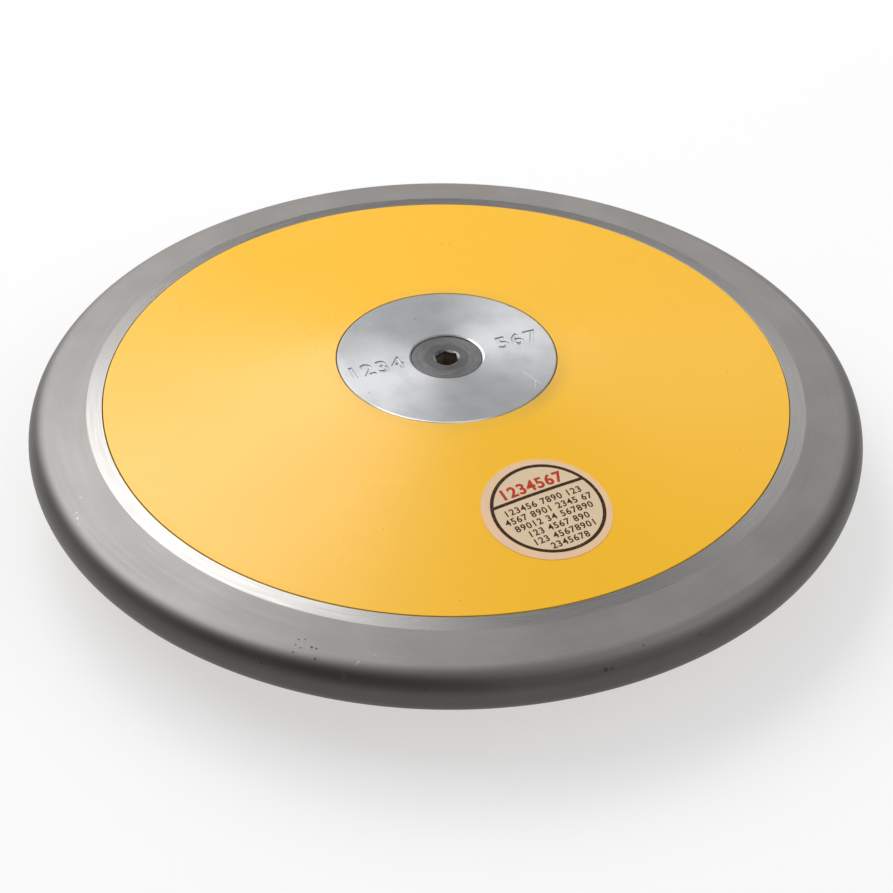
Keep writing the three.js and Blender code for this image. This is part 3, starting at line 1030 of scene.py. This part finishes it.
def side_plate_outline(plate, rim, centre):
    recess = PLATE_RADIUS + plate.recess_gap
    recess_floor = PLATE_TOP - centre.thickness
    corner = corner_radius(plate)
    bore = centre.spigot_radius + plate.spigot_gap
    hub = plate.pocket_radius + plate.hub_wall
    skirt = skirt_radius(plate, rim)
    skirt_inner = skirt - plate.skirt
    hoop_inner = plate.hoop_radius - plate.rib / 2
    hoop_outer = plate.hoop_radius + plate.rib / 2
    web_face = rim.web_thickness / 2
    return outline([
        (bore, CORE_FACE),
        (plate.pocket_radius, CORE_FACE),
        (plate.pocket_radius, plate.half_gap),
        (hub, plate.half_gap),
        (hub, CORE_FACE, INNER_BREAK),
        (corner, CORE_FACE),
        (corner, under_face(plate, corner), INNER_BREAK),
        (hoop_inner, under_face(plate, hoop_inner)),
        (hoop_inner, plate.rib_floor),
        (hoop_outer, plate.rib_floor),
        (hoop_outer, under_face(plate, hoop_outer)),
        (skirt_inner, under_face(plate, skirt_inner), INNER_BREAK),
        (skirt_inner, plate.half_gap),
        (skirt, plate.half_gap),
        (skirt, web_face),
        (SEAM_RADIUS, web_face),
        (SEAM_RADIUS, face_height(plate, SEAM_RADIUS), plate.edge_round),
        (recess, face_height(plate, recess), plate.recess_round),
        (recess, recess_floor),
        (bore, recess_floor),
    ], FINE_BREAK)


def ribs(plate, rim):
    """The radial ribs, which run from the hub wall to the skirt under the skin."""
    hub = plate.pocket_radius + plate.hub_wall / 2
    skirt = skirt_radius(plate, rim) - plate.skirt / 2
    corner = corner_radius(plate)
    loop = [(hub, plate.rib_floor), (skirt, plate.rib_floor), (skirt, under_face(plate, skirt) + OVERLAP),
            (corner - OVERLAP, under_face(plate, corner) + OVERLAP),
            (corner - OVERLAP, CORE_FACE + OVERLAP), (hub, CORE_FACE + OVERLAP)]
    made = []
    for i in range(plate.rib_count):
        rib = prism([(radius, plate.rib / 2, height) for radius, height in loop], (0, -plate.rib, 0))
        made.append(moved(rib, about_axis(360 * i / plate.rib_count)))
    return gather(made)


def pins(radius, low, high, tip_break, at, angles):
    """Upright pins on a circle about the axis, with a bevel at their lower tips."""
    made = []
    for degrees in angles:
        pin = turned([Vector(p) for p in ((0, low), (radius - tip_break, low), (radius, low + tip_break),
                                          (radius, high), (0, high))], PIN_FLATS)
        made.append(moved(pin, about_axis(degrees) @ Matrix.Translation((at, 0, 0))))
    return gather(made)


def peg_circle(plate, rim):
    """Radius of the circle of pegs, midway between the skirt and the seam."""
    return (skirt_radius(plate, rim) + SEAM_RADIUS) / 2


def peg_angles(plate):
    """Directions of the pegs and their sockets in degrees, midway between the ribs."""
    return [360 * (i + 0.5) / plate.rib_count for i in range(plate.rib_count)]


def figures(text, size, spacing, weight, extrude, bevel=0.0):
    """Counting figures as a closed mesh, with its middle on the origin, facing up."""
    curve = bpy.data.curves.new("figures", "FONT")
    curve.body = text
    curve.size = size
    curve.space_character = spacing
    curve.offset = weight
    curve.extrude = extrude
    curve.bevel_depth = bevel
    curve.bevel_resolution = FIGURE_BEVEL_STEPS
    curve.resolution_u = FIGURE_CURVE_STEPS
    holder = placed("figures", curve)
    mesh = bpy.data.meshes.new_from_object(holder.evaluated_get(bpy.context.evaluated_depsgraph_get()))
    form = bmesh.new()
    form.from_mesh(mesh)
    bmesh.ops.remove_doubles(form, verts=form.verts, dist=FIGURE_MERGE_GAP)
    bpy.data.objects.remove(holder)
    bpy.data.curves.remove(curve)
    bpy.data.meshes.remove(mesh)
    xs = [vert.co.x for vert in form.verts]
    ys = [vert.co.y for vert in form.verts]
    return moved(form, Matrix.Translation((-(min(xs) + max(xs)) / 2, -(min(ys) + max(ys)) / 2, 0)))


def stamps(centre):
    """The tool that sinks the figures into the upper centre plate."""
    made = []
    for text, azimuth, radius in STAMPS:
        form = figures(text, centre.stamp_height * FONT_SIZE_TO_HEIGHT, centre.stamp_spacing,
                       -centre.stamp_thinning, STAMP_WALL, centre.stamp_depth)
        place = at_polar(azimuth, radius, 0)
        place.z = PLATE_TOP
        made.append(moved(form, Matrix.Translation(place) @ Matrix.Rotation(centre.stamp_tilt, 4, "Z")))
    return gather(made)


def centre_plate_outline(centre):
    floor = PLATE_TOP - centre.thickness
    cone_foot = SCREW_TOP - centre.head_land
    mouth = HEAD_RADIUS + MOUTH_GAP_SHARE * centre.seat_gap

    def cone(radius):
        return cone_foot - (HEAD_RADIUS + centre.seat_gap * math.sqrt(2) - radius)

    return outline([
        (centre.hole_radius, CORE_FACE),
        (centre.spigot_radius, CORE_FACE, SPIGOT_BREAK),
        (centre.spigot_radius, floor),
        (PLATE_RADIUS, floor, SPIGOT_BREAK),
        (PLATE_RADIUS, PLATE_TOP, centre.edge_break),
        (centre.sink_radius, PLATE_TOP, SINK_BREAK),
        (mouth, PLATE_TOP - centre.sink_bevel, CONE_BREAK),
        (mouth, cone(mouth), CONE_BREAK),
        (centre.hole_radius, cone(centre.hole_radius)),
    ], FINE_BREAK)


def screw_outline(centre):
    """A countersunk screw: a threaded shank with ring-shaped turns, and a head with a straight land."""
    foot = SCREW_TOP - centre.head_land
    shank_top = foot - (HEAD_RADIUS - centre.screw_radius)
    pitch = centre.thread_pitch
    root = centre.screw_radius - THREAD_DEPTH_SHARE * pitch
    tip_in, tip_up = (part * centre.tip_break for part in TIP_BEVEL_SHARES)
    thread = []
    height = SCREW_TIP + centre.tip_break + pitch / 2
    while height + pitch < shank_top:
        for crest, rise in THREAD_TURN_SHARES:
            thread.append((centre.screw_radius if crest else root, height + rise * pitch))
        height += pitch
    return outline([
        (0, SCREW_TIP),
        (root - tip_in, SCREW_TIP),
        (root, SCREW_TIP + tip_up),
        *thread,
        (root, shank_top - THREAD_RUNOUT_SHARE * pitch),
        (centre.screw_radius, shank_top),
        (HEAD_RADIUS, foot, LAND_BREAK),
        (HEAD_RADIUS, SCREW_TOP, centre.head_break),
        (0, SCREW_TOP),
    ])


def socket_corner(centre):
    """Distance of the hexagon's corners from the axis."""
    return centre.socket_width / math.sqrt(3)


def socket_tool(centre):
    """The hexagon of the key, run out above the head."""
    corner = socket_corner(centre)
    turns = [centre.socket_turn + i * math.pi / 3 for i in range(6)]
    floor = SCREW_TOP - centre.socket_depth
    points = [(corner * math.cos(turn), corner * math.sin(turn), floor) for turn in turns]
    return prism(points, (0, 0, centre.socket_depth + OVERRUN))


def socket_bevel(centre):
    """A cone that takes the hexagon's corners off at the socket's mouth."""
    mouth = socket_corner(centre) + centre.socket_bevel
    above = BEVEL_OVERRUN_SHARE * centre.socket_bevel
    cone = ((0, SCREW_TOP - BEVEL_SLOPE * mouth), (mouth + above / BEVEL_SLOPE, SCREW_TOP + above),
            (0, SCREW_TOP + above))
    return turned([Vector(p) for p in cone], SCREW_FLATS)


def label_point(label, across, along, lift):
    """A point of the label, laid on the cone of the side plate: across and along are the print's own."""
    plate = bpy.context.scene.discus_plate
    flat = Matrix.Rotation(label.tilt, 2) @ Vector((across, along))
    middle = Vector((math.cos(label.azimuth), math.sin(label.azimuth))) * label.from_axis
    slope = math.atan2(PLATE_TOP - plate.seam_height, SEAM_RADIUS - PLATE_RADIUS)
    outward = middle.normalized()
    flat += outward * flat.dot(outward) * (math.cos(slope) - 1)
    spot = middle + flat
    upward = Vector((spot.x / spot.length * math.sin(slope), spot.y / spot.length * math.sin(slope),
                     math.cos(slope)))
    return Vector((*spot, face_height(plate, spot.length))) + upward * lift


def lay_on_plate(form, label, lift):
    """Bends a flat form, whose own height is kept, on to the side plate."""
    for vert in form.verts:
        vert.co = label_point(label, vert.co.x, vert.co.y, vert.co.z + lift)
    return form


def flat_ring(inner, outer, thickness, rings=1):
    """A thin flat ring, or a disc where inner is 0, with enough rings to bend."""
    radii = [inner + (outer - inner) * i / rings for i in range(rings + 1)]
    under = [Vector((radius, 0)) for radius in radii]
    over = [Vector((radius, thickness)) for radius in reversed(radii)]
    return turned(under + over, LABEL_FLATS)


def cut_in_strips(form, step):
    """Cuts a long flat form across so that it can bend."""
    xs = [vert.co.x for vert in form.verts]
    at = min(xs) + step
    while at < max(xs):
        bmesh.ops.bisect_plane(form, geom=[*form.verts, *form.edges, *form.faces], plane_co=(at, 0, 0),
                               plane_no=(1, 0, 0))
        at += step
    return form


def label_bar(label):
    """The printed bar, which ends on the ring."""
    half = label.ring_width / 2
    chord = math.sqrt(label.ring_radius ** 2 - label.bar_height ** 2)
    low, high = label.bar_height - half, label.bar_height + half
    bar = prism([(-chord, low, 0), (chord, low, 0), (chord, high, 0), (-chord, high, 0)],
                (0, 0, label.ink * BAR_INK_SHARE))
    return cut_in_strips(bar, STRIP_WIDTH)


def label_rows(label):
    """The rows of small figures."""
    rows = []
    for i, text in enumerate(LABEL_ROWS):
        row = figures(text, label.row_size, label.row_spacing, label.row_weight, label.ink / 2)
        height = label.row_height - i * label.row_pitch
        rows.append(moved(row, Matrix.Translation((0, height, label.ink / 2))))
    return gather(rows)


def label_heading(label):
    """The row of red figures."""
    heading = figures(LABEL_HEADING, label.heading_size, label.heading_spacing, label.heading_weight,
                      label.ink / 2)
    return moved(heading, Matrix.Translation((0, label.heading_height, label.ink / 2)))


# Operators

class DISCUS_OT_rim(Operator):
    """Builds the turned steel rim, with the web inside it that carries the side plates"""

    bl_idname = "discus.rim"
    bl_label = "Rim"

    def execute(self, context):
        rim = context.scene.discus_rim
        plate = context.scene.discus_plate
        piece = shown("turned_rim", turned(rim_outline(rim), RIM_FLATS))
        through = rim.web_thickness
        holes = pins(plate.peg_radius + plate.peg_gap, -through, through, 0.0, peg_circle(plate, rim),
                     peg_angles(plate))
        combine(piece, holes, "DIFFERENCE")
        finishes = [steel_finish(rim), bright_band_finish(rim),
                    machined_finish("web_steel", rim.steel, ROUGHNESS["web"])]
        dress(piece, finishes, ["rim"])
        satin, bright, machined = range(len(finishes))
        for face in piece.data.polygons:
            radius = face.center.xy.length
            if radius > band_radius(rim):
                face.material_index = satin
            elif radius > lip_radius(rim) and abs(face.center.z) > rim.band_height - rim.band_break:
                face.material_index = bright
            else:
                face.material_index = machined
        return {"FINISHED"}


class DISCUS_OT_side_plates(Operator):
    """Builds the two yellow mouldings, with the ribs, pegs and sockets under their skins"""

    bl_idname = "discus.side_plates"
    bl_label = "Side plates"

    def execute(self, context):
        rim = context.scene.discus_rim
        plate = context.scene.discus_plate
        centre = context.scene.discus_centre
        finish = plastic_finish(plate)
        web_face = rim.web_thickness / 2
        socket_top = -PEG_TIP + plate.peg_gap
        circle = peg_circle(plate, rim)
        at_pegs = peg_angles(plate)[::2]
        at_sockets = peg_angles(plate)[1::2]
        for side in SIDES:
            piece = shown(f"{side}_moulded_plate", turned(side_plate_outline(plate, rim, centre), RIM_FLATS))
            pegs = pins(plate.peg_radius, PEG_TIP, web_face + OVERLAP, plate.peg_break, circle, at_pegs)
            sockets = pins(plate.peg_radius + plate.peg_gap, web_face - OVERLAP, socket_top, 0.0, circle,
                           at_sockets)
            combine(piece, ribs(plate, rim), "UNION")
            combine(piece, pegs, "UNION")
            combine(piece, sockets, "DIFFERENCE")
            if side == "lower":
                turn_over(piece)
            dress(piece, [finish], [f"{side}_side_plate"])
        return {"FINISHED"}


class DISCUS_OT_centre_plates(Operator):
    """Builds the two aluminium centre plates, and stamps figures into the upper one"""

    bl_idname = "discus.centre_plates"
    bl_label = "Centre plates"

    def execute(self, context):
        centre = context.scene.discus_centre
        finish = aluminium_finish(centre)
        for side in SIDES:
            piece = shown(f"{side}_turned_plate", turned(centre_plate_outline(centre), PLATE_FLATS))
            if side == "upper":
                combine(piece, stamps(centre), "DIFFERENCE")
            else:
                turn_over(piece)
            dress(piece, [finish], [f"{side}_centre_plate"])
        return {"FINISHED"}


class DISCUS_OT_screws(Operator):
    """Builds the two countersunk socket screws"""

    bl_idname = "discus.screws"
    bl_label = "Screws"

    def execute(self, context):
        centre = context.scene.discus_centre
        finish = black_steel_finish(centre)
        for side in SIDES:
            piece = shown(f"{side}_socket_screw", turned(screw_outline(centre), SCREW_FLATS))
            combine(piece, socket_tool(centre), "DIFFERENCE")
            combine(piece, socket_bevel(centre), "DIFFERENCE")
            if side == "lower":
                turn_over(piece)
            dress(piece, [finish], [f"{side}_centre_screw"])
        return {"FINISHED"}


class DISCUS_OT_core(Operator):
    """Finishes the tapped core and the trim washers, whose shapes come from the frame"""

    bl_idname = "discus.core"
    bl_label = "Core and washers"

    def execute(self, context):
        centre = context.scene.discus_centre
        finishes = {
            "core_aluminium": machined_finish("core_aluminium", centre.core, ROUGHNESS["core"]),
            "washer_steel": machined_finish("washer_steel", centre.washer, ROUGHNESS["washer"]),
        }
        for name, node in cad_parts.items():
            if name == "core" or "trim_washer" in name:
                slot = "core_aluminium" if name == "core" else "washer_steel"
                node.data.materials.clear()
                node.data.materials.append(finishes[slot].material)
        return {"FINISHED"}


class DISCUS_OT_label(Operator):
    """Lays the round label and its print on the upper side plate"""

    bl_idname = "discus.label"
    bl_label = "Label"

    def execute(self, context):
        label = context.scene.discus_label
        paper = flat_ring(0.0, label.radius, label.thickness, PAPER_RINGS)
        piece = shown("paper_label", lay_on_plate(paper, label, 0.0))
        dress(piece, [paper_finish(label)])
        dark = ink_finish("dark_ink", label.dark_ink, label.paper)
        red = ink_finish("red_ink", label.red_ink, label.paper)
        half = label.ring_width / 2
        ring = flat_ring(label.ring_radius - half, label.ring_radius + half, label.ink)
        for name, form, finish in (("label_ring", ring, dark), ("label_bar", label_bar(label), dark),
                                   ("label_small_figures", label_rows(label), dark),
                                   ("label_red_figures", label_heading(label), red)):
            form = moved(form, Matrix.Translation((label.across, label.up, 0)))
            dress(shown(name, lay_on_plate(form, label, label.thickness)), [finish])
        return {"FINISHED"}


class DISCUS_OT_stage(Operator):
    """Sets the floor, the softboxes, the room's light and the camera"""

    bl_idname = "discus.stage"
    bl_label = "Stage"

    def execute(self, context):
        stage = context.scene.discus_stage
        make_floor(stage)
        for name, (azimuth, elevation, width, height, radiance) in LAMPS.items():
            softbox(name, azimuth, elevation, width, height, radiance)
        make_room(stage)
        context.scene.view_settings.view_transform = "Standard"
        make_camera(stage)
        return {"FINISHED"}


def make_floor(stage):
    """A plain pale floor, which shows a share of plain white to the camera and to mirrors alike."""
    half = stage.floor_size / 2
    form = bmesh.new()
    form.faces.new([form.verts.new((x * half, y * half, CAD_BOX[0].z - stage.floor_gap))
                    for x, y in ((-1, -1), (1, -1), (1, 1), (-1, 1))])
    floor = shown("floor", form)
    finish = Finish("floor_white", {"Base Color": stage.floor_colour, "Roughness": 1.0,
                                    "Specular IOR Level": 0.0})
    camera, glossy, through = (finish.node("ShaderNodeLightPath", out=f"Is {ray} Ray")
                               for ray in ("Camera", "Glossy", "Transmission"))
    white = finish.node("ShaderNodeEmission", values={"Color": WHITE, "Strength": 1.0})
    seen = camera.most(glossy).most(through) * stage.floor_lift
    surface = Wire(finish, finish.shader.outputs[0])
    mixed = finish.node("ShaderNodeMixShader", values={0: seen, 1: surface, 2: white})
    finish.feed(finish.tree.nodes["Material Output"].inputs["Surface"], mixed)
    floor.data.materials.append(finish.material)


def make_room(stage):
    """The room's own light, dimmer near the horizon than overhead and dimmer behind the camera."""
    world = bpy.data.worlds.new("room")
    world.use_nodes = True
    room = Shading(world.node_tree)
    direction = room.node("ShaderNodeTexCoord", out="Generated")
    rise = room.axis(direction, "Z")
    ahead = room.axis(direction, "Y")
    light = (room.ramp(rise, *HORIZON_RISE, stage.horizon_light, stage.room_light)
             * room.ramp(ahead, *DARK_SIDE_REACH, stage.dark_side, 1.0))
    background = world.node_tree.nodes["Background"]
    room.feed(background.inputs["Color"], WHITE)
    room.feed(background.inputs["Strength"], light)
    bpy.context.scene.world = world


def softbox(name, azimuth, elevation, width, height, radiance):
    """A rectangular lamp that faces the discus."""
    lamp = bpy.data.lights.new(name, "AREA")
    lamp.shape = "RECTANGLE"
    lamp.size = width
    lamp.size_y = height
    lamp.energy = radiance * math.pi * width * height
    turn = math.radians(azimuth)
    rise = math.radians(elevation)
    towards = Vector((math.sin(turn) * math.cos(rise), math.cos(turn) * math.cos(rise), math.sin(rise)))
    holder = placed(name, lamp)
    holder.location = towards * LAMP_DISTANCE
    holder.rotation_euler = towards.to_track_quat("Z", "Y").to_euler()


def make_camera(stage):
    """The photograph's camera: it looks at the discus's centre, which lies a little off the middle."""
    camera = bpy.data.cameras.new("camera")
    camera.sensor_width = stage.sensor
    camera.lens = stage.sensor * stage.focal_pixels / stage.photo_size
    middle = stage.photo_size / 2 - 0.5
    camera.shift_x = (middle - stage.axis_x) / stage.photo_size
    camera.shift_y = (stage.axis_y - middle) / stage.photo_size
    camera.clip_start = NEAREST
    camera.clip_end = FARTHEST
    holder = placed("camera", camera)
    turn = (Matrix.Rotation(math.pi / 2 - stage.camera_elevation, 4, "X")
            @ Matrix.Rotation(stage.camera_roll, 4, "Z"))
    holder.matrix_world = turn @ Matrix.Translation((0, 0, stage.camera_distance))
    bpy.context.scene.camera = holder


OPERATORS = (DISCUS_OT_stage, DISCUS_OT_rim, DISCUS_OT_side_plates, DISCUS_OT_centre_plates,
             DISCUS_OT_screws, DISCUS_OT_core, DISCUS_OT_label)


class DISCUS_PT_builder(Panel):
    """Lists the pieces of the discus"""

    bl_label = "Discus"
    bl_space_type = "VIEW_3D"
    bl_region_type = "UI"
    bl_category = "Discus"

    def draw(self, context):
        for operator in OPERATORS:
            self.layout.operator(operator.bl_idname)
        for name in SETTINGS:
            group = getattr(context.scene, name)
            box = self.layout.box()
            for key in group.bl_rna.properties.keys():
                if key not in ("rna_type", "name"):
                    box.prop(group, key)


def register():
    for kind in (*SETTINGS.values(), *OPERATORS, DISCUS_PT_builder):
        bpy.utils.register_class(kind)
    for name, kind in SETTINGS.items():
        setattr(bpy.types.Scene, name, PointerProperty(type=kind))


def unregister():
    for name in SETTINGS:
        delattr(bpy.types.Scene, name)
    for kind in (DISCUS_PT_builder, *reversed(OPERATORS), *reversed(SETTINGS.values())):
        bpy.utils.unregister_class(kind)


def main():
    register()
    bpy.ops.discus.stage()
    bpy.ops.discus.rim()
    bpy.ops.discus.side_plates()
    bpy.ops.discus.centre_plates()
    bpy.ops.discus.screws()
    bpy.ops.discus.core()
    bpy.ops.discus.label()


if __name__ == "__main__":
    main()
